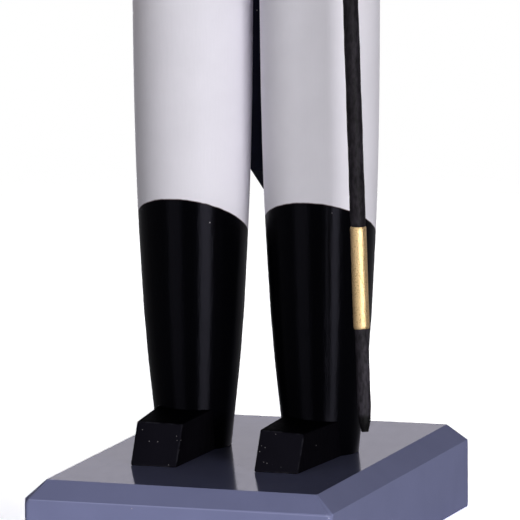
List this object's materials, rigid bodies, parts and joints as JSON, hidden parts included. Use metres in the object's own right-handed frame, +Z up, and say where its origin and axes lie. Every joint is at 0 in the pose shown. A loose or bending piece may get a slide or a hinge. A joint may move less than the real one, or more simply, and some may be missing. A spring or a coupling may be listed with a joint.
{
  "type": "soldier nutcracker",
  "caption": "Turned and painted wooden soldier on a chamfered plinth, whose coat-tail lever swings the lower jaw to crack a nut in the mouth.",
  "frame": {"origin": "middle of the plinth's underside", "axes": "+Z up, the figure faces -Y, its left hand is towards +X"},
  "size_m": [0.1206, 0.124, 0.433],
  "materials": {
    "slate_paint": "satin paint on a planed board",
    "leg_paint": "white satin paint, dipped black below the boot line",
    "boot_paint": "black satin paint, worn at the edges",
    "coat_paint": "navy satin paint",
    "skin_paint": "flesh satin paint",
    "hat_paint": "black satin paint",
    "plume_paint": "scarlet paint",
    "scabbard_paint": "dark matt stain",
    "gold_paint": "grainy gold paint",
    "brass_fitting": "polished sheet",
    "white_leather": "white strap leather",
    "black_leather": "black glazed leather",
    "fur": "white fur",
    "bare_beech": "bare beech",
    "steel_pin": "drawn steel"
  },
  "bodies": {
    "figure": {"plinth": "slate_paint", "right_leg": "leg_paint", "left_leg": "leg_paint", "right_toe": "boot_paint", "left_toe": "boot_paint", "torso": "coat_paint", "pivot_plug": "coat_paint", "right_upper_arm": "coat_paint", "left_upper_arm": "coat_paint", "right_forearm": "coat_paint", "left_forearm": "coat_paint", "head": "skin_paint", "nose": "skin_paint", "right_hand": "skin_paint", "left_hand": "skin_paint", "hat_body": "hat_paint", "hat_peak": "black_leather", "sabre_grip": "black_leather", "plume": "plume_paint", "scabbard": "scabbard_paint", "belt": "white_leather", "sabre_frog": "white_leather", "belt_buckle": "brass_fitting", "hat_plate": "brass_fitting", "hair": "fur", "pivot_pin": "steel_pin", "scabbard_band": "gold_paint", "scabbard_locket": "gold_paint", "sabre_guard": "gold_paint", "hat_lower_band": "gold_paint", "hat_upper_band": "gold_paint", "right_epaulette": "gold_paint", "left_epaulette": "gold_paint", "coat_button_right_1": "gold_paint", "coat_button_right_2": "gold_paint", "coat_button_right_3": "gold_paint", "coat_button_right_4": "gold_paint", "coat_button_left_1": "gold_paint", "coat_button_left_2": "gold_paint", "coat_button_left_3": "gold_paint", "coat_button_left_4": "gold_paint", "right_foot_dowel": "bare_beech", "left_foot_dowel": "bare_beech", "right_hip_dowel": "bare_beech", "left_hip_dowel": "bare_beech", "right_neck_dowel": "bare_beech", "left_neck_dowel": "bare_beech", "right_shoulder_dowel": "bare_beech", "left_shoulder_dowel": "bare_beech", "hat_dowel": "bare_beech", "plume_pin": "bare_beech"},
    "lever": {"jaw_lever": "coat_paint", "lower_jaw": "skin_paint", "jaw_dowel": "bare_beech", "beard": "fur"}
  },
  "joints": [
    {"name": "jaw_lever_pivot", "type": "hinge", "parent": "figure", "child": "lever", "pos_m": [0, 0.0139, 0.2666], "axis": [1, 0, 0], "range_deg": [0, 32]}
  ]
}
